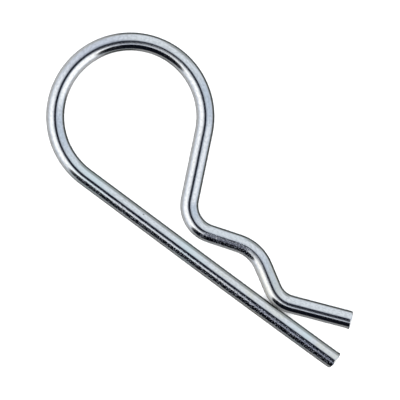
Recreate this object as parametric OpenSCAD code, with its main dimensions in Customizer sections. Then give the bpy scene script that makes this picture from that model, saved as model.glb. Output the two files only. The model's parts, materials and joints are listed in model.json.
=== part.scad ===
// Hairpin cotter pin, bent from one length of round spring wire.
// The straight leg goes through a cross hole in a shaft, and the spring leg
// snaps over the outside of the shaft and holds it there.
// The origin is where the shaft's axis crosses the straight leg's axis.
// +X runs along the straight leg to its tip, +Y points to the spring leg,
// and the clip lies flat, with +Z up and the shaft's axis along Z.

/* [Wire] */
// Diameter of the spring wire
wire_d = 4.5; // [3:0.1:6]
// Bevel round the rim of each cut end
edge_break = 0.25; // [0.1:0.05:0.6]

/* [Shaft] */
// Diameter of the shaft that the clip locks
shaft_d = 16; // [12:0.5:22]
// How much closer than the shaft's surface the seat is bent, so that it grips
seat_grip = 0.2; // [0:0.05:0.6]

/* [Finger loop] */
// Clear diameter inside the loop
loop_inside_d = 33; // [24:0.5:45]
// Distance along the leg from the shaft's side to the inside of the loop
loop_setback = 19.3; // [16:0.1:30]

/* [Straight leg] */
// How far the straight leg reaches past the shaft's side
leg_reach = 25.7; // [20:0.1:40]

/* [Spring leg] */
// Clear gap between the two legs at the throat, between the loop and the shaft
throat_gap = 2.25; // [1:0.05:4]
// Distance along the leg from the shaft's side to the throat
throat_setback = 4.8; // [4:0.1:8]
// Inside radius of the bend at the throat
throat_bend_r = 5.15; // [3:0.05:7]
// Clear gap between the two legs at the nose, on the far side of the shaft
nose_gap = 0.1; // [0.05:0.05:1]
// Distance along the leg from the shaft's side to the nose
nose_setback = 5.8; // [5:0.1:9]
// Inside radius of the bend at the nose
nose_bend_r = 4.5; // [3:0.05:6]
// Angle of the flared end away from the straight leg
flare_angle = 22; // [10:0.5:35]
// Length of the flared end past the nose's bend
flare_len = 15.6; // [8:0.1:24]

/* [Hidden] */
zinc_grey = [0.78, 0.80, 0.84];
$fn = 64;

// Drawing the wire round a pin thins it by this much
bend_thinning = 0.02;
// How far the ends of a bend reach into the straight stretches beside it
bend_lap = 0.1;

wire_r = wire_d / 2;
shaft_r = shaft_d / 2;
loop_inside_r = loop_inside_d / 2;
leg_tip = shaft_r + leg_reach;

// Each bend of the wire's axis: where its forming pin stands, along and above
// the straight leg, and the radius that the axis is bent to
function bend_at(x, y, r) = [x, y, r];
loop = bend_at(-shaft_r - loop_setback - loop_inside_r, loop_inside_r + wire_r, loop_inside_r + wire_r);
throat_r = throat_bend_r + wire_r;
throat = bend_at(-shaft_r - throat_setback, wire_d + throat_gap + throat_r, throat_r);
seat = bend_at(0, 0, shaft_r - seat_grip + wire_r);
nose_r = nose_bend_r + wire_r;
nose = bend_at(shaft_r + nose_setback, wire_d + nose_gap + nose_r, nose_r);

// Between two bends that turn opposite ways, the axis is the straight line that
// crosses over from one side of the first pin to the other side of the next
left = 1;
right = -1;
function centre_gap(a, b) = norm([b.x - a.x, b.y - a.y]);
function centre_angle(a, b) = atan2(b.y - a.y, b.x - a.x);
function cross_length(a, b) = sqrt(centre_gap(a, b) ^ 2 - (a.z + b.z) ^ 2);
function cross_angle(a, b, turn) = centre_angle(a, b) + turn * asin((a.z + b.z) / centre_gap(a, b));

// Direction of each straight stretch, from +X
leg_angle = 180;
neck_angle = cross_angle(loop, throat, right);
rise_angle = cross_angle(throat, seat, left);
drop_angle = cross_angle(seat, nose, right);

// The modules below each draw one stretch of the wire, which starts at the
// origin and runs along +X, and then draw their children at its far end.

// Straight stretch
module straight(length) {
    rotate([0, 90, 0]) cylinder(h = length, d = wire_d);
    translate([length, 0, 0]) children();
}

// Bevelled rim of a cut end
module cut_end(start_r, end_r) {
    rotate([0, 90, 0]) cylinder(h = edge_break, r1 = start_r, r2 = end_r);
    translate([edge_break, 0, 0]) children();
}

// Bend, to the left for a positive angle, with its two ends sunk into the stretches beside it
module bend(radius, angle) {
    side = sign(angle);
    sunk = side * asin(bend_lap / radius);
    translate([0, side * radius, 0]) {
        rotate([0, 0, -side * 90 - sunk]) arc(radius, angle + 2 * sunk);
        rotate([0, 0, angle]) translate([0, -side * radius, 0]) children();
    }
}

module arc(radius, angle) {
    rotate_extrude(angle = angle) translate([radius, 0]) circle(d = wire_d - bend_thinning);
}

// The whole wire, from the tip of the straight leg to the end of the flare
module clip() {
    color(zinc_grey)
    translate([leg_tip, 0, 0])
    rotate([0, 0, leg_angle])
    cut_end(wire_r - edge_break, wire_r)
    straight(leg_tip - edge_break - loop.x)
    bend(loop.z, neck_angle - leg_angle)
    straight(cross_length(loop, throat))
    bend(throat.z, rise_angle - neck_angle)
    straight(cross_length(throat, seat))
    bend(seat.z, drop_angle - rise_angle)
    straight(cross_length(seat, nose))
    bend(nose.z, flare_angle - drop_angle)
    straight(flare_len - edge_break)
    cut_end(wire_r, wire_r - edge_break);
}

clip();
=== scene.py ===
"""Hairpin cotter pin: one zinc-plated spring wire, bent, finished and laid on a pale studio floor.

Lengths are in metres. The origin is where the shaft's axis crosses the straight leg's axis, +X runs along
the straight leg to its tip, +Y points to the spring leg, and the wire lies flat with +Z up.
"""

import json
import math
from collections import namedtuple

import bmesh
import bpy
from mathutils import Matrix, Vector


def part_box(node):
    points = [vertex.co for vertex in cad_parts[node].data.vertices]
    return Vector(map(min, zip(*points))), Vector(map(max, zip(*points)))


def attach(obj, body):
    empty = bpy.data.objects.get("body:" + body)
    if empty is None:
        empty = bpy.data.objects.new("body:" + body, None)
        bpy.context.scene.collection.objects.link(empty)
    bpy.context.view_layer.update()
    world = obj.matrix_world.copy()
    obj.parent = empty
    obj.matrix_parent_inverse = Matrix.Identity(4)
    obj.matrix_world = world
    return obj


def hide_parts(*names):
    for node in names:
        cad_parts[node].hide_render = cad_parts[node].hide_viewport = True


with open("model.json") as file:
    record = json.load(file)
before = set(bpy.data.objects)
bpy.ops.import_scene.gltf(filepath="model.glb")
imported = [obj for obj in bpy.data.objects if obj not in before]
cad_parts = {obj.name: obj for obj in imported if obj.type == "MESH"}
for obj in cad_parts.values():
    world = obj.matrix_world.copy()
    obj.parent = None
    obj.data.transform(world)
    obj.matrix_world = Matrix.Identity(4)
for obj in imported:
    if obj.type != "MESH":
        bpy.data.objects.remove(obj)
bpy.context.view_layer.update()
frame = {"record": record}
clip_low, clip_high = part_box("clip")
mount_sizes = {mount["name"]: mount["dims"] for mount in frame["record"]["mounts"]}

bl_info = {
    "name": "Hairpin Cotter Pin",
    "version": (1, 0, 0),
    "blender": (4, 5, 0),
    "location": "View3D > Sidebar > Hairpin",
    "description": "Bends a zinc-plated hairpin cotter pin from one wire and lays it on a studio floor",
    "category": "Add Mesh",
}

MM = 0.001
LEFT = 1
RIGHT = -1
HALF_TURN = 180

# The wire's own coordinates, kept on its points: where each point lay on the straight wire before it was
# bent, how tinted, rubbed and scuffed that place is, and whether it is on a cut end
DRAWN = "drawn_place"
TINTED = "tint"
RUBBED = "rubbed"
SCUFFED = "scuffed"
CUT = "cut_end"

# How worn the wire is at these distances along it from the rim of the straight leg's tip. The tint of its
# passivation goes from -1, straw, to 1, blue. The rubbing on one side and the scuffing along the top go
# from 0, as plated, to 1. over is how far past the top's middle line the rubbing starts, as a share of the
# wire's radius
Wear = namedtuple("Wear", "drawn tint rub over scuff")
WEAR = (
    Wear(0.0, -0.25, 1.0, 0.0, 0.0),
    Wear(6 * MM, -0.25, 1.0, 0.0, 0.0),
    Wear(9 * MM, 0.7, 0.95, 0.0, 0.0),
    Wear(14 * MM, 0.5, 0.9, 0.0, 0.0),
    Wear(17 * MM, -0.2, 0.9, 0.0, 0.0),
    Wear(24 * MM, -0.2, 0.85, 0.0, 0.0),
    Wear(30 * MM, -0.2, 0.6, 0.0, 0.0),
    Wear(38 * MM, -0.2, 0.5, 0.0, 0.0),
    Wear(46 * MM, 0.8, 0.5, 0.0, 0.0),
    Wear(52 * MM, 0.1, 0.45, 0.0, 0.0),
    Wear(66 * MM, 0.1, 0.4, 0.0, 0.0),
    Wear(75 * MM, 0.8, 0.35, 0.0, 0.0),
    Wear(84 * MM, 0.2, 0.0, 0.0, 0.45),
    Wear(121 * MM, 0.0, 0.0, 0.1, 0.45),
    Wear(133 * MM, 0.0, 0.1, 0.1, 0.6),
    Wear(145 * MM, 0.0, 0.0, 0.1, 0.5),
    Wear(183 * MM, 0.0, 0.0, 0.25, 0.4),
    Wear(185.4 * MM, 0.2, 0.95, 0.25, 0.8),
    Wear(195 * MM, 0.2, 0.95, 0.25, 0.8),
    Wear(198.5 * MM, 0.0, 0.0, 0.25, 0.8),
    Wear(204 * MM, -0.4, 0.0, 0.2, 0.55),
    Wear(209 * MM, -0.4, 0.0, 0.2, 0.5),
    Wear(213 * MM, 0.0, 0.0, 0.2, 0.4),
    Wear(229 * MM, 0.0, 0.08, 0.2, 0.4),
)

# The rubbed side, and how far a point has to face it for the rubbing to be full. This and the shares below
# are shares of the wire's radius
RUB_SIDE = Vector((0, -1, 0))
RUB_FULL = 0.2
# How far a point has to face up for the rubbing to start and to be full
RUB_LOW = 0.5
RUB_HIGH = 0.8
# How far a point has to face the rubbed side for the scuffing to start and to be full
SCUFF_START = -0.1
SCUFF_FULL = 0.05
# How far from the top's middle line the scuffing is still full and ends
SCUFF_WIDTH = 0.3
SCUFF_END = 0.5

# How much rubbing starts to wear the zinc thin and wears it all, and how unevenly
WORN_START = 0.5
WORN_END = 0.95
WORN_UNEVEN = 2.5
# How uneven the tint is
TINT_UNEVEN = 1.0
# How much rubbing brings out all the rough specks
SPECK_RUB = 0.3
# Where in the plating's noise the specks start on wire that isn't rubbed, and how soon they are full
SPECK_START = 0.74
SPECK_EDGE = 0.06
# Where in the crystals' noise the dull zinc starts and is full
DULL_START = 0.4
DULL_FULL = 0.65
# Where in the grain's noise the haze starts and is full
HAZE_START = 0.35
HAZE_FULL = 0.7

# Noise in the plate, with the size of its cells along and across the straight wire
Noise = namedtuple("Noise", "along across detail")
GRAIN = Noise(4 * MM, 0.1 * MM, 2.0)
MOTTLE = Noise(0.3 * MM, 0.22 * MM, 2.0)
CRYSTALS = Noise(0.7 * MM, 0.5 * MM, 2.0)
WAVES = Noise(9 * MM, 4 * MM, 1.0)
STAIN = Noise(5 * MM, 1.5 * MM, 2.0)
NOISE_MIDDLE = 0.5

# Points closer than this are merged, and edges flatter than this are shaded smooth
MERGE_DISTANCE = 0.001 * MM
SMOOTH_ANGLE = math.radians(50)

# Steps round the rim of a cut end, and the rings on its face as shares of the face's radius
RIM_STEPS = 5
FACE_RINGS = (0.75, 0.4)
# How torn the metal is at the inner edge of the rim and on the face
RIM_TORN = 0.5
FACE_TORN = 1.0

# The shear rolls a cut end's edge over in bands that start at these shares of the wire's radius
ROLL_BANDS = (0.55, 0.66, 0.76, 0.84, 0.91, 0.96)
# How far behind its rim a cut end starts, as a share of the rim
CUT_SLACK = 0.1
# How far a cut end reaches from its middle, and its burr from its corner, as shares of the wire's radius
CUT_REACH = 1.2
BURR_REACH = 0.35

# Places on the straight wire, along it, across it and up from its axis: a small nick down to the steel, a
# chip that shows bright, and painted shade on the leg and on the nose where they touch, which on the leg
# also stands for the nose's dark reflection
NICKS = (
    (60.0 * MM, -1.18 * MM, 1.92 * MM),
)
CHIPS = (
    (187.4 * MM, -0.52 * MM, 2.19 * MM),
)
# Painted shade where the nose touches the leg: one spot on the leg, which also paints the nose's dark
# reflection there, and one on the nose
PAINTED_SHADE_SPOTS = (
    (20.8 * MM, -2.02 * MM, 1.0 * MM),
    (211.4 * MM, -2.25 * MM, 0.0),
)

# Share of a spot that has its full colour, out from its middle
SPOT_CORE = 0.3

# Distance between nodes in the node editor, and the sockets of a Mix node that mixes colours
NODE_GAP = 200
MIX_FACTOR = 0
MIX_FIRST = 6
MIX_SECOND = 7
MIX_RESULT = 2

# The camera's sensor in millimetres, and the floor and the lamp over it in metres
SENSOR_WIDTH = 36.0
FLOOR_SIZE = 8.0
FLOOR_ROUGHNESS = 0.9
OVERHEAD_HEIGHT = 1.6
OVERHEAD_SIZE = 1.2


def length_value(name, description, default):
    """A length that a user can change, with its default in metres."""
    return bpy.props.FloatProperty(
        name=name, description=description, default=default, unit="LENGTH", precision=5
    )


def angle_value(name, description, degrees):
    """An angle that a user can change."""
    return bpy.props.FloatProperty(
        name=name, description=description, default=math.radians(degrees), subtype="ANGLE", unit="ROTATION"
    )


def share_value(name, description, default):
    """A share from 0 to 1 that a user can change."""
    return bpy.props.FloatProperty(
        name=name, description=description, default=default, min=0.0, max=1.0, subtype="FACTOR"
    )


def colour_value(name, description, default):
    """A colour that a user can change, in linear red, green and blue."""
    return bpy.props.FloatVectorProperty(
        name=name, description=description, default=default, min=0.0, soft_max=2.0, subtype="COLOR", size=3
    )


class ClipSizes(bpy.types.PropertyGroup):
    """Sizes of the bent wire."""

    wire: length_value("Wire", "Diameter of the spring wire", clip_high.z - clip_low.z)
    leg_tip: length_value("Leg tip", "From the shaft's axis to the tip of the straight leg", clip_high.x)
    leg_bow: length_value("Leg bow", "How far the leg's tip bows to the spring leg", 0.3 * MM)
    bow_length: length_value("Bow length", "Length of the leg that bows, back from its tip", 44 * MM)
    seat_inside: length_value(
        "Seat", "Inside radius of the bend that grips the shaft", mount_sizes["shaft_seat"]["r_mm"] * MM
    )
    loop_inside: length_value("Loop", "Clear diameter inside the finger loop", 33 * MM)
    loop_back: length_value("Loop place", "From the shaft's axis back to the loop's centre", 43.8 * MM)
    throat_gap: length_value("Throat gap", "Clear gap between the two legs at the throat", 2.25 * MM)
    throat_inside: length_value("Throat bend", "Inside radius of the bend at the throat", 5.15 * MM)
    throat_back: length_value("Throat place", "From the shaft's axis back to the throat", 12.8 * MM)
    nose_gap: length_value("Nose gap", "Clear gap between the two legs at the nose", 0.1 * MM)
    nose_inside: length_value("Nose bend", "Inside radius of the bend at the nose", 4.5 * MM)
    nose_ahead: length_value("Nose place", "From the shaft's axis ahead to the nose", 13.8 * MM)
    flare_length: length_value("Flare length", "Length of the flared end past the nose's bend", 15.6 * MM)
    flare_angle: angle_value("Flare angle", "Angle of the flared end away from the straight leg", 22)
    rim: length_value("Rim", "Rounding of the rim of each cut end", 0.25 * MM)
    burr: length_value("Burr", "How far the shear's burr stands out at each cut end", 0.1 * MM)
    leg_lean: angle_value("Leg cut", "Lean of the cut at the tip of the straight leg", 0)
    leg_roll: length_value("Leg roll", "How far the shear rolled the edge at the leg's tip", 0.35 * MM)
    flare_lean: angle_value("Flare cut", "Lean of the cut at the end of the flare", 1)
    flare_roll: length_value("Flare roll", "How far the shear rolled the edge at the flare's end", 0.1 * MM)
    ring_gap: length_value("Ring gap", "Distance between the rings of the wire's mesh", 0.75 * MM)
    ring_sides: bpy.props.IntProperty(
        name="Sides", description="Points round the wire", default=64, min=12
    )


class ZincFinish(bpy.types.PropertyGroup):
    """Look of the zinc plate."""

    plate: colour_value("Plate", "Colour of the bright zinc", (0.79, 0.805, 0.82))
    dull: colour_value("Dull", "Colour of the zinc between its crystals", (0.68, 0.695, 0.715))
    blue: colour_value("Blue", "Colour where the passivation shows blue", (0.70, 0.79, 0.81))
    straw: colour_value("Straw", "Colour where the passivation shows straw yellow", (0.81, 0.78, 0.64))
    worn: colour_value("Worn", "Colour where the zinc is worn thin", (0.18, 0.19, 0.24))
    speck: colour_value("Specks", "Colour of the rough specks in the worn zinc", (0.66, 0.70, 0.80))
    nick: colour_value("Nick", "Colour of the small nick in the plate", (0.25, 0.25, 0.24))
    chip: colour_value("Chip", "Colour of the bright chip in the worn zinc", (0.90, 0.90, 0.90))
    # Painted shade: a near-black colour where the nose touches the leg, for the shade between them and the
    # nose's dark reflection in the leg
    painted_shade: colour_value("Shade", "Colour of the dirt where the nose touches the leg", (0.03, 0.03, 0.02))
    shine: share_value("Shine", "Roughness of the plate where it is smooth", 0.10)
    haze: share_value("Haze", "Roughness of the plate along its fine lines", 0.18)
    scuff_haze: share_value("Scuff haze", "Roughness where the plate is scuffed", 0.46)
    speck_haze: share_value("Speck haze", "Roughness of the specks in the worn zinc", 0.5)
    speck_spread: share_value("Speck spread", "How much rubbing adds to the specks", 0.17)
    cut_haze: share_value("Cut end", "Roughness of the cut ends", 0.38)
    grain_depth: length_value("Grain", "Depth of the fine lines left by drawing the wire", 0.0008 * MM)
    mottle_depth: length_value("Mottle", "Depth of the uneven plating on rubbed wire", 0.02 * MM)
    wave_depth: length_value("Waves", "Depth of the slow unevenness of the wire", 0.015 * MM)
    cut_depth: length_value("Torn ends", "Depth of the torn metal on the cut ends", 0.03 * MM)
    nick_size: length_value("Nick size", "Radius of the small nick and of the chip", 0.3 * MM)
    nick_depth: length_value("Nick depth", "Depth of the small nick", 0.05 * MM)
    # Reach of that painted shade along and across the wire
    painted_shade_length: length_value("Dirt length", "How far the dirt runs along the wire each way", 4.5 * MM)
    painted_shade_width: length_value("Dirt width", "How far the dirt runs across the wire each way", 0.6 * MM)


class StudioSettings(bpy.types.PropertyGroup):
    """The camera, the floor and the light tent round the clip."""

    turn: angle_value("Turn", "Turn of the picture about the upright axis", 36.67)
    centre_x: length_value("Centre X", "Middle of the picture along the straight leg", -17.42 * MM)
    centre_y: length_value("Centre Y", "Middle of the picture across the straight leg", 12.43 * MM)
    width: length_value("Width", "Width of the picture at the clip", 99.83 * MM)
    height: length_value("Height", "Height of the camera above the clip", 1.0)
    floor: colour_value("Floor", "Colour of the floor", (0.9, 0.9, 0.9))
    backdrop: colour_value("Backdrop", "Colour behind the floor", (1.0, 1.0, 1.0))
    softbox: colour_value("Soft boxes", "Light of the two soft boxes", (1.36, 1.36, 1.35))
    wall_glow: colour_value("Bright wall", "Light of the tent's brightest wall", (0.84, 0.89, 0.94))
    wall_blue: colour_value("Blue wall", "Light of the tent's bluest wall", (0.65, 0.735, 0.845))
    wall_shade: colour_value("Shaded wall", "Light of the wall's shaded foot", (0.41, 0.435, 0.44))
    table_glow: colour_value("Table", "Light that the table throws back", (0.56, 0.56, 0.56))
    table_dim: colour_value("Dim table", "Light from the table below the card", (0.31, 0.31, 0.31))
    card: colour_value("Card", "Light of the dark card", (0.003, 0.004, 0.008))
    lens: colour_value("Lens", "Light of the opening for the camera", (0.001, 0.004, 0.014))
    overhead: bpy.props.FloatProperty(
        name="Overhead", description="Power of the lamp over the floor", default=40.0, min=0.0, unit="POWER"
    )


Bend = namedtuple("Bend", "x y radius")


def cross_over(first, second, turn):
    """Length and heading of the straight from one bend to the next, on the other side of its pin."""
    gap = Vector((second.x - first.x, second.y - first.y))
    both_radii = first.radius + second.radius
    length = math.sqrt(gap.length_squared - both_radii**2)
    heading = math.atan2(gap.y, gap.x) + turn * math.asin(both_radii / gap.length)
    return length, heading


def ramp(value, start, end):
    """Goes from 0 to 1 as value goes from start to end."""
    return min(max((value - start) / (end - start), 0.0), 1.0)


def rub_share(offset, over):
    """How much of its stretch's rubbing a point gets, from its offset from the middle of the wire."""
    facing = offset.normalized()
    return ramp(facing.dot(RUB_SIDE), -over, RUB_FULL) * ramp(facing.z, RUB_LOW, RUB_HIGH)


def scuff_share(offset):
    """How much of its stretch's scuffing a point gets, from its offset from the middle of the wire."""
    if offset.z < 0:
        return 0.0
    facing = offset.normalized()
    on_side = ramp(facing.dot(RUB_SIDE), SCUFF_START, SCUFF_FULL)
    return on_side * ramp(facing.xy.length, SCUFF_END, SCUFF_WIDTH)


def wear_at(drawn):
    """How worn the wire is at a distance along it."""
    for last, wear in zip(WEAR, WEAR[1:]):
        if drawn < wear.drawn:
            change = ramp(drawn, last.drawn, wear.drawn)
            return Wear(*(old + (new - old) * change for old, new in zip(last, wear)))
    return WEAR[-1]


class WireBender:
    """Feeds and bends a wire, ring by ring, out of the ring of points that is selected in edit mode."""

    def __init__(self, mesh, start, heading, ring_gap):
        self.mesh = mesh
        self.point = Vector(start)
        self.heading = heading
        self.ring_gap = ring_gap
        self.drawn = 0.0
        self.mark_ring()

    def ahead(self):
        """The direction in which the wire is fed."""
        return Vector((math.cos(self.heading), math.sin(self.heading), 0))

    def left(self):
        """The direction to the left of the wire, in its plane."""
        return Vector((-math.sin(self.heading), math.cos(self.heading), 0))

    def mark_ring(self, cut=0.0):
        """Writes the wire's own coordinates on the selected ring."""
        shape = bmesh.from_edit_mesh(self.mesh)
        drawn = shape.verts.layers.float_vector[DRAWN]
        tint = shape.verts.layers.float[TINTED]
        rubbed = shape.verts.layers.float[RUBBED]
        scuffed = shape.verts.layers.float[SCUFFED]
        cut_end = shape.verts.layers.float[CUT]
        wear = wear_at(self.drawn)
        for vert in shape.verts:
            if vert.select:
                offset = vert.co - self.point
                vert[drawn] = (self.drawn, offset.dot(self.left()), offset.z)
                vert[tint] = wear.tint
                vert[rubbed] = wear.rub * rub_share(offset, wear.over)
                vert[scuffed] = wear.scuff * scuff_share(offset)
                vert[cut_end] = cut

    def steps(self, length):
        """Yields the share of a stretch that each ring adds, and marks the ring when it is there."""
        count = max(2, round(length / self.ring_gap))
        for _ in range(count):
            yield 1 / count
            self.drawn += length / count
            self.mark_ring()

    def feed(self, length):
        """Adds a straight stretch."""
        for share in self.steps(length):
            move = self.ahead() * length * share
            bpy.ops.mesh.extrude_region_move(TRANSFORM_OT_translate={"value": move})
            self.point += move

    def bend(self, radius, angle):
        """Adds a bend, to the left for a positive angle."""
        centre = self.point + self.left() * math.copysign(radius, angle)
        for share in self.steps(radius * abs(angle)):
            bpy.ops.mesh.spin(steps=1, angle=angle * share, center=centre, axis=(0, 0, -1))
            self.heading += angle * share
            self.point = centre - self.left() * math.copysign(radius, angle)

    def close_end(self, radius, rim):
        """Rounds the rim of a cut end and closes its face."""
        start = self.point.copy()
        ring_radius = radius
        for step in range(1, RIM_STEPS + 1):
            angle = math.pi / 2 * step / RIM_STEPS
            next_radius = radius - rim * (1 - math.cos(angle))
            move = start + self.ahead() * rim * math.sin(angle) - self.point
            self.shrink_ring(move, next_radius / ring_radius)
            self.mark_ring(cut=RIM_TORN * step / RIM_STEPS)
            ring_radius = next_radius
        for share in FACE_RINGS:
            next_radius = (radius - rim) * share
            self.shrink_ring(Vector(), next_radius / ring_radius)
            self.mark_ring(cut=FACE_TORN)
            ring_radius = next_radius
        bpy.ops.mesh.extrude_region_move()
        bpy.ops.mesh.merge(type="CENTER")
        self.mark_ring(cut=FACE_TORN)

    def shrink_ring(self, move, scale):
        """Draws the selected ring out to a smaller one."""
        bpy.ops.mesh.extrude_region_move(TRANSFORM_OT_translate={"value": move})
        self.point += move
        self.drawn += move.length
        bpy.ops.transform.resize(value=(scale, scale, scale), center_override=self.point)


def select_points(mesh, wanted):
    """Selects the points of a mesh in edit mode that wanted() says yes to."""
    shape = bmesh.from_edit_mesh(mesh)
    for vert in shape.verts:
        vert.select = wanted(vert)
    shape.select_flush_mode()
    bmesh.update_edit_mesh(mesh)


def shear_end(mesh, end, ahead, burr_side, sizes, lean, roll):
    """Leans the cut end back from its burr, rolls its other edge over and draws the burr out."""
    radius = sizes.wire / 2
    corner = end + burr_side * radius
    rim_start = end - ahead * sizes.rim

    def is_cut(vert):
        past_rim = (vert.co - rim_start).dot(ahead) > -CUT_SLACK * sizes.rim
        return past_rim and (vert.co - end).length < CUT_REACH * radius

    def is_rolled(vert, band):
        return vert.index in cut_points and (vert.co - end).dot(burr_side) < -band * radius

    cut_points = {vert.index for vert in bmesh.from_edit_mesh(mesh).verts if is_cut(vert)}
    for band in ROLL_BANDS:
        select_points(mesh, lambda vert: is_rolled(vert, band))
        bpy.ops.transform.translate(value=-ahead * roll / len(ROLL_BANDS))
    select_points(mesh, lambda vert: vert.index in cut_points)
    turn = math.copysign(lean, ahead.cross(burr_side).z)
    bpy.ops.transform.rotate(value=turn, orient_axis="Z", center_override=corner)
    burr_reach = BURR_REACH * radius
    select_points(mesh, lambda vert: (vert.co - corner).length < burr_reach and vert.co.z <= 0)
    bpy.ops.transform.translate(
        value=burr_side * sizes.burr,
        use_proportional_edit=True,
        proportional_edit_falloff="SMOOTH",
        proportional_size=burr_reach,
    )


class HAIRPIN_OT_bend_wire(bpy.types.Operator):
    """Bends the clip from one wire and plates it"""

    bl_idname = "hairpin.bend_wire"
    bl_label = "Bend the wire"

    def execute(self, context):
        sizes = context.scene.hairpin_sizes
        wire_r = sizes.wire / 2
        tip = Vector((sizes.leg_tip - sizes.rim, sizes.leg_bow, 0))
        # The bow is a shallow arc, so it turns by twice its rise over its length
        bow_angle = 2 * sizes.leg_bow / sizes.bow_length

        bpy.ops.object.select_all(action="DESELECT")
        bpy.ops.mesh.primitive_circle_add(
            vertices=sizes.ring_sides, radius=wire_r, location=tip, rotation=(0, math.pi / 2, bow_angle)
        )
        wire = context.object
        wire.name = "bent_wire"
        bpy.ops.object.transform_apply(location=True, rotation=True, scale=True)
        wire.data.attributes.new(DRAWN, "FLOAT_VECTOR", "POINT")
        for name in (TINTED, RUBBED, SCUFFED, CUT):
            wire.data.attributes.new(name, "FLOAT", "POINT")

        bpy.ops.object.mode_set(mode="EDIT")
        bpy.ops.mesh.select_mode(type="VERT")
        bpy.ops.mesh.select_all(action="SELECT")
        self.draw_wire(wire.data, sizes, tip, bow_angle)
        bpy.ops.mesh.select_all(action="SELECT")
        bpy.ops.mesh.remove_doubles(threshold=MERGE_DISTANCE)
        bpy.ops.mesh.normals_make_consistent(inside=False)
        bpy.ops.object.mode_set(mode="OBJECT")
        bpy.ops.object.shade_smooth_by_angle(angle=SMOOTH_ANGLE)

        wire.data.materials.append(zinc_plate(context.scene.hairpin_finish))
        wire.visible_glossy = False
        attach(wire, "root")
        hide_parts("clip")
        return {"FINISHED"}

    def draw_wire(self, mesh, sizes, tip, bow_angle):
        """Draws the wire from the tip of the straight leg to the end of the flare, and closes both ends."""
        wire_r = sizes.wire / 2
        loop_r = sizes.loop_inside / 2 + wire_r
        throat_r = sizes.throat_inside + wire_r
        nose_r = sizes.nose_inside + wire_r
        loop = Bend(-sizes.loop_back, loop_r, loop_r)
        throat = Bend(-sizes.throat_back, sizes.wire + sizes.throat_gap + throat_r, throat_r)
        seat = Bend(0.0, 0.0, sizes.seat_inside + wire_r)
        nose = Bend(sizes.nose_ahead, sizes.wire + sizes.nose_gap + nose_r, nose_r)
        leg_heading = math.pi
        neck_length, neck_heading = cross_over(loop, throat, RIGHT)
        rise_length, rise_heading = cross_over(throat, seat, LEFT)
        drop_length, drop_heading = cross_over(seat, nose, RIGHT)

        wire = WireBender(mesh, tip, leg_heading + bow_angle, sizes.ring_gap)
        wire.bend(sizes.bow_length / bow_angle, -bow_angle)
        wire.feed(wire.point.x - loop.x)
        wire.bend(loop.radius, neck_heading - leg_heading)
        wire.feed(neck_length)
        wire.bend(throat.radius, rise_heading - neck_heading)
        wire.feed(rise_length)
        wire.bend(seat.radius, drop_heading - rise_heading)
        wire.feed(drop_length)
        wire.bend(nose.radius, sizes.flare_angle - drop_heading)
        wire.feed(sizes.flare_length - sizes.rim)
        wire.close_end(wire_r, sizes.rim)
        flare_end = wire.point.copy()
        flare_ahead = wire.ahead()
        flare_side = -wire.left()

        bpy.ops.mesh.select_all(action="DESELECT")
        bpy.ops.mesh.select_non_manifold(
            extend=False, use_wire=False, use_multi_face=False, use_verts=False
        )
        tip_end = WireBender(mesh, tip, bow_angle, sizes.ring_gap)
        tip_end.close_end(wire_r, sizes.rim)
        shear_end(
            mesh, tip_end.point, tip_end.ahead(), tip_end.left(), sizes, sizes.leg_lean, sizes.leg_roll
        )
        shear_end(mesh, flare_end, flare_ahead, flare_side, sizes, sizes.flare_lean, sizes.flare_roll)


def add_node(tree, kind, inputs=(), **settings):
    """Adds a node. inputs pairs an input's name or number with its value or the socket that feeds it."""
    node = tree.nodes.new(kind)
    node.location.x = NODE_GAP * len(tree.nodes)
    for name, value in settings.items():
        setattr(node, name, value)
    for key, value in inputs:
        if isinstance(value, bpy.types.NodeSocket):
            tree.links.new(value, node.inputs[key])
        else:
            node.inputs[key].default_value = value
    return node


def maths(tree, operation, *values):
    """The result of one Math node."""
    return add_node(tree, "ShaderNodeMath", enumerate(values), operation=operation).outputs[0]


def vector_maths(tree, operation, *values, result="Vector"):
    """The result of one Vector Math node."""
    return add_node(tree, "ShaderNodeVectorMath", enumerate(values), operation=operation).outputs[result]


def smooth_step(tree, value, start, end, low=0.0, high=1.0):
    """Goes smoothly from low to high as value goes from start to end."""
    inputs = (("Value", value), ("From Min", start), ("From Max", end), ("To Min", low), ("To Max", high))
    return add_node(tree, "ShaderNodeMapRange", inputs, interpolation_type="SMOOTHSTEP").outputs[0]


def mix_colours(tree, factor, first, second):
    """first where factor is 0 and second where it is 1."""
    inputs = ((MIX_FACTOR, factor), (MIX_FIRST, first), (MIX_SECOND, second))
    return add_node(tree, "ShaderNodeMix", inputs, data_type="RGBA").outputs[MIX_RESULT]


def solid(colour):
    """An opaque colour for a node's input."""
    return (*colour, 1.0)


def plate_noise(tree, place, noise):
    """Noise with cells of its size along and across the straight wire."""
    cells = (1 / noise.along, 1 / noise.across, 1 / noise.across)
    scaled = vector_maths(tree, "MULTIPLY", place, cells)
    inputs = (("Vector", scaled), ("Scale", 1.0), ("Detail", noise.detail))
    return add_node(tree, "ShaderNodeTexNoise", inputs).outputs[0]


def spot_mask(tree, place, spots, length, width):
    """1 in the middle of each of these spots on the straight wire and 0 outside them."""
    shares = (1 / length, 1 / width, 1 / width)
    mask = 0.0
    for spot in spots:
        off = vector_maths(tree, "MULTIPLY", vector_maths(tree, "SUBTRACT", place, spot), shares)
        reach = vector_maths(tree, "LENGTH", off, result="Value")
        mask = maths(tree, "MAXIMUM", smooth_step(tree, reach, SPOT_CORE, 1.0, 1.0, 0.0), mask)
    return mask


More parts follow.
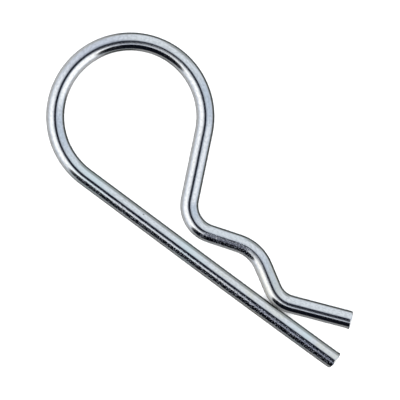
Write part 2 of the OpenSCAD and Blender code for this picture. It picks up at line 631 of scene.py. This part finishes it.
def zinc_plate(finish):
    """Bright zinc on drawn wire.

    It has fine lines along the wire, dull crystals and faint blue and straw. It is scuffed along the top,
    worn and specked where it is rubbed, torn on the cut ends, and has a nick, a chip and painted shade
    where the nose touches the leg.
    """
    material = bpy.data.materials.new("zinc_plate")
    material.use_nodes = True
    tree = material.node_tree
    shader = tree.nodes["Principled BSDF"]
    place = add_node(tree, "ShaderNodeAttribute", attribute_name=DRAWN).outputs["Vector"]
    tinted = add_node(tree, "ShaderNodeAttribute", attribute_name=TINTED).outputs["Fac"]
    rubbed = add_node(tree, "ShaderNodeAttribute", attribute_name=RUBBED).outputs["Fac"]
    scuffed = add_node(tree, "ShaderNodeAttribute", attribute_name=SCUFFED).outputs["Fac"]
    cut_end = add_node(tree, "ShaderNodeAttribute", attribute_name=CUT).outputs["Fac"]

    grain = plate_noise(tree, place, GRAIN)
    mottle = plate_noise(tree, place, MOTTLE)
    crystals = plate_noise(tree, place, CRYSTALS)
    waves = plate_noise(tree, place, WAVES)
    stain = plate_noise(tree, place, STAIN)
    nicks = spot_mask(tree, place, NICKS, finish.nick_size, finish.nick_size)
    chips = spot_mask(tree, place, CHIPS, finish.nick_size, finish.nick_size)
    # Mask of the painted shade where the nose touches the leg
    painted_shade = spot_mask(tree, place, PAINTED_SHADE_SPOTS, finish.painted_shade_length, finish.painted_shade_width)

    speck_low = SPECK_START - finish.speck_spread
    speck_start = smooth_step(tree, rubbed, 0.0, SPECK_RUB, SPECK_START, speck_low)
    specks = smooth_step(tree, maths(tree, "SUBTRACT", mottle, speck_start), 0.0, SPECK_EDGE)
    unevenness = maths(tree, "SUBTRACT", NOISE_MIDDLE, mottle)
    uneven_rub = maths(tree, "MULTIPLY_ADD", unevenness, WORN_UNEVEN, rubbed)
    worn = smooth_step(tree, uneven_rub, WORN_START, WORN_END)

    dull = smooth_step(tree, crystals, DULL_START, DULL_FULL)
    stained = maths(tree, "SUBTRACT", stain, NOISE_MIDDLE)
    tint = maths(tree, "MULTIPLY_ADD", stained, TINT_UNEVEN, tinted)
    blue = smooth_step(tree, tint, 0.0, 1.0)
    straw = smooth_step(tree, tint, 0.0, -1.0)
    colour = mix_colours(tree, dull, solid(finish.plate), solid(finish.dull))
    colour = mix_colours(tree, blue, colour, solid(finish.blue))
    colour = mix_colours(tree, straw, colour, solid(finish.straw))
    colour = mix_colours(tree, specks, colour, solid(finish.speck))
    colour = mix_colours(tree, worn, colour, solid(finish.worn))
    colour = mix_colours(tree, nicks, colour, solid(finish.nick))
    colour = mix_colours(tree, chips, colour, solid(finish.chip))
    # Paints the contact shade and the nose's dark reflection over the plate
    colour = mix_colours(tree, painted_shade, colour, solid(finish.painted_shade))
    tree.links.new(colour, shader.inputs["Base Color"])
    shader.inputs["Metallic"].default_value = 1.0

    haze = smooth_step(tree, grain, HAZE_START, HAZE_FULL, finish.shine, finish.haze)
    for mask, mask_haze in (
        (scuffed, finish.scuff_haze),
        (specks, finish.speck_haze),
        (cut_end, finish.cut_haze),
    ):
        haze = maths(tree, "MAXIMUM", haze, maths(tree, "MULTIPLY", mask, mask_haze))
    tree.links.new(haze, shader.inputs["Roughness"])

    torn = smooth_step(tree, cut_end, RIM_TORN, FACE_TORN, 0.0, finish.cut_depth)
    rough = maths(tree, "MULTIPLY_ADD", rubbed, finish.mottle_depth, torn)
    height = maths(tree, "MULTIPLY", mottle, rough)
    for relief, depth in (
        (waves, finish.wave_depth),
        (grain, finish.grain_depth),
        (nicks, -finish.nick_depth),
    ):
        height = maths(tree, "MULTIPLY_ADD", relief, depth, height)
    bump = add_node(tree, "ShaderNodeBump", (("Strength", 1.0), ("Distance", 1.0), ("Height", height)))
    tree.links.new(bump.outputs["Normal"], shader.inputs["Normal"])
    return material


# A patch of the light tent: the setting that gives its light, then in degrees its bearing in the picture,
# anticlockwise from the right, its angle from straight up, and half its width and height. fade is the share
# of those halves over which its edge fades. A later patch covers an earlier one
Patch = namedtuple("Patch", "light bearing polar half_width half_height fade")
PATCHES = (
    Patch("wall_blue", 18, 60, 34, 36, 0.5),
    Patch("wall_glow", 64, 58, 32, 44, 0.5),
    Patch("wall_shade", 53, 96, 11, 16, 0.6),
    Patch("table_glow", 167, 122, 63, 24, 0.3),
    Patch("table_glow", 318, 125, 24, 22, 0.3),
    Patch("table_dim", 251, 124, 13, 24, 0.3),
    Patch("softbox", 197, 49, 42, 24, 0.8),
    Patch("softbox", 318, 54, 32, 29, 0.5),
    Patch("card", 258.5, 71.5, 39.5, 31, 0.06),
    Patch("lens", 270, 18, 28, 11, 0.2),
)
# How square a patch's corners are: 2 is an ellipse, and more is squarer
PATCH_SQUARENESS = 3.5

# The tent's opening for the camera, in degrees
LENS_POLAR = 4.5
LENS_BEARING = 245
LENS_RADIUS = 15
LENS_FADE = 2

# Light of the tent's wall and of what lies below it, by the angle from straight up in degrees
TENT = (
    (0, (0.34, 0.37, 0.45)),
    (18, (0.41, 0.45, 0.53)),
    (36, (0.68, 0.725, 0.83)),
    (50, (0.72, 0.765, 0.87)),
    (90, (0.70, 0.745, 0.83)),
    (98, (0.60, 0.63, 0.67)),
    (108, (0.21, 0.22, 0.22)),
    (121, (0.08, 0.085, 0.08)),
    (180, (0.07, 0.07, 0.07)),
)


def patch_mask(tree, bearing, polar, patch):
    """1 inside a patch of the tent, which is a square with round corners, and 0 outside it."""
    turned = maths(tree, "SUBTRACT", bearing, patch.bearing)
    off_bearing = maths(tree, "WRAP", turned, HALF_TURN, -HALF_TURN)
    off_polar = maths(tree, "SUBTRACT", polar, patch.polar)
    across, up = (
        maths(tree, "POWER", maths(tree, "ABSOLUTE", maths(tree, "DIVIDE", off, half)), PATCH_SQUARENESS)
        for off, half in ((off_bearing, patch.half_width), (off_polar, patch.half_height))
    )
    reach = maths(tree, "POWER", maths(tree, "ADD", across, up), 1 / PATCH_SQUARENESS)
    return smooth_step(tree, reach, 1 - patch.fade, 1 + patch.fade, 1.0, 0.0)


def lens_mask(tree, direction):
    """1 inside the tent's opening for the camera and 0 outside it."""
    polar = math.radians(LENS_POLAR)
    bearing = math.radians(LENS_BEARING)
    middle = (math.sin(polar) * math.cos(bearing), math.sin(polar) * math.sin(bearing), math.cos(polar))
    cosine = vector_maths(tree, "DOT_PRODUCT", direction, middle, result="Value")
    angle = maths(tree, "DEGREES", maths(tree, "ARCCOSINE", cosine))
    return smooth_step(tree, angle, LENS_RADIUS - LENS_FADE, LENS_RADIUS + LENS_FADE, 1.0, 0.0)


def tent_light(world, studio):
    """Lights the scene with a pale tent that has soft boxes, a dark card and an opening for the camera."""
    world.use_nodes = True
    tree = world.node_tree
    outward = add_node(tree, "ShaderNodeTexCoord").outputs["Generated"]
    inputs = (("Vector", outward), ("Angle", -studio.turn))
    direction = add_node(tree, "ShaderNodeVectorRotate", inputs, rotation_type="Z_AXIS").outputs[0]
    x, y, z = add_node(tree, "ShaderNodeSeparateXYZ", ((0, direction),)).outputs
    polar = maths(tree, "DEGREES", maths(tree, "ARCCOSINE", z))
    bearing = maths(tree, "DEGREES", maths(tree, "ARCTAN2", y, x))

    wall = add_node(tree, "ShaderNodeValToRGB", ((0, maths(tree, "DIVIDE", polar, HALF_TURN)),))
    while len(wall.color_ramp.elements) < len(TENT):
        wall.color_ramp.elements.new(1.0)
    for element, (angle, colour) in zip(wall.color_ramp.elements, TENT):
        element.position = angle / HALF_TURN
        element.color = solid(colour)

    light = wall.outputs["Color"]
    for patch in PATCHES:
        patch_light = solid(getattr(studio, patch.light))
        light = mix_colours(tree, patch_mask(tree, bearing, polar, patch), light, patch_light)
    light = mix_colours(tree, lens_mask(tree, direction), light, solid(studio.lens))
    seen = add_node(tree, "ShaderNodeLightPath").outputs["Is Camera Ray"]
    light = mix_colours(tree, seen, light, solid(studio.backdrop))
    tree.links.new(light, tree.nodes["Background"].inputs["Color"])


def floor_paint(studio):
    """Plain pale matt paint."""
    material = bpy.data.materials.new("floor_paint")
    material.use_nodes = True
    shader = material.node_tree.nodes["Principled BSDF"]
    shader.inputs["Base Color"].default_value = solid(studio.floor)
    shader.inputs["Roughness"].default_value = FLOOR_ROUGHNESS
    shader.inputs["Specular IOR Level"].default_value = 0.0
    return material


class HAIRPIN_OT_set_stage(bpy.types.Operator):
    """Lays the floor, hangs the lights and sets the camera above the clip"""

    bl_idname = "hairpin.set_stage"
    bl_label = "Set the stage"

    def execute(self, context):
        scene = context.scene
        studio = scene.hairpin_studio
        centre = Vector((studio.centre_x, studio.centre_y, 0))

        bpy.ops.object.select_all(action="DESELECT")
        bpy.ops.mesh.primitive_plane_add(size=FLOOR_SIZE, location=(centre.x, centre.y, clip_low.z))
        floor = context.object
        floor.name = "floor"
        floor.data.materials.append(floor_paint(studio))
        floor.visible_glossy = False

        bpy.ops.object.light_add(type="AREA", location=(centre.x, centre.y, OVERHEAD_HEIGHT))
        lamp = context.object
        lamp.name = "overhead_lamp"
        lamp.data.size = OVERHEAD_SIZE
        lamp.data.energy = studio.overhead
        lamp.visible_camera = False
        lamp.visible_glossy = False

        scene.world = bpy.data.worlds.new("light_tent")
        tent_light(scene.world, studio)
        scene.view_settings.view_transform = "Standard"

        bpy.ops.object.camera_add(
            location=(centre.x, centre.y, studio.height), rotation=(0, 0, studio.turn)
        )
        camera = context.object
        camera.data.sensor_width = SENSOR_WIDTH
        camera.data.lens = SENSOR_WIDTH * studio.height / studio.width
        scene.camera = camera
        return {"FINISHED"}


class HAIRPIN_PT_panel(bpy.types.Panel):
    """Hairpin cotter pin in the sidebar of the 3D view"""

    bl_idname = "HAIRPIN_PT_panel"
    bl_label = "Hairpin cotter pin"
    bl_space_type = "VIEW_3D"
    bl_region_type = "UI"
    bl_category = "Hairpin"

    def draw(self, context):
        for group, operator in (
            ("hairpin_sizes", None),
            ("hairpin_finish", HAIRPIN_OT_bend_wire),
            ("hairpin_studio", HAIRPIN_OT_set_stage),
        ):
            settings = getattr(context.scene, group)
            column = self.layout.column(align=True)
            for name in settings.__annotations__:
                column.prop(settings, name)
            if operator:
                self.layout.operator(operator.bl_idname)


CLASSES = (
    ClipSizes,
    ZincFinish,
    StudioSettings,
    HAIRPIN_OT_bend_wire,
    HAIRPIN_OT_set_stage,
    HAIRPIN_PT_panel,
)
SETTINGS = {"hairpin_sizes": ClipSizes, "hairpin_finish": ZincFinish, "hairpin_studio": StudioSettings}


def register():
    """Makes the settings, the operators and the panel known to Blender."""
    for made in CLASSES:
        bpy.utils.register_class(made)
    for name, group in SETTINGS.items():
        setattr(bpy.types.Scene, name, bpy.props.PointerProperty(type=group))


def unregister():
    """Takes them away again."""
    for name in SETTINGS:
        delattr(bpy.types.Scene, name)
    for made in reversed(CLASSES):
        bpy.utils.unregister_class(made)


def main():
    """Makes the clip and its stage."""
    register()
    bpy.ops.hairpin.bend_wire()
    bpy.ops.hairpin.set_stage()


if __name__ == "__main__":
    main()
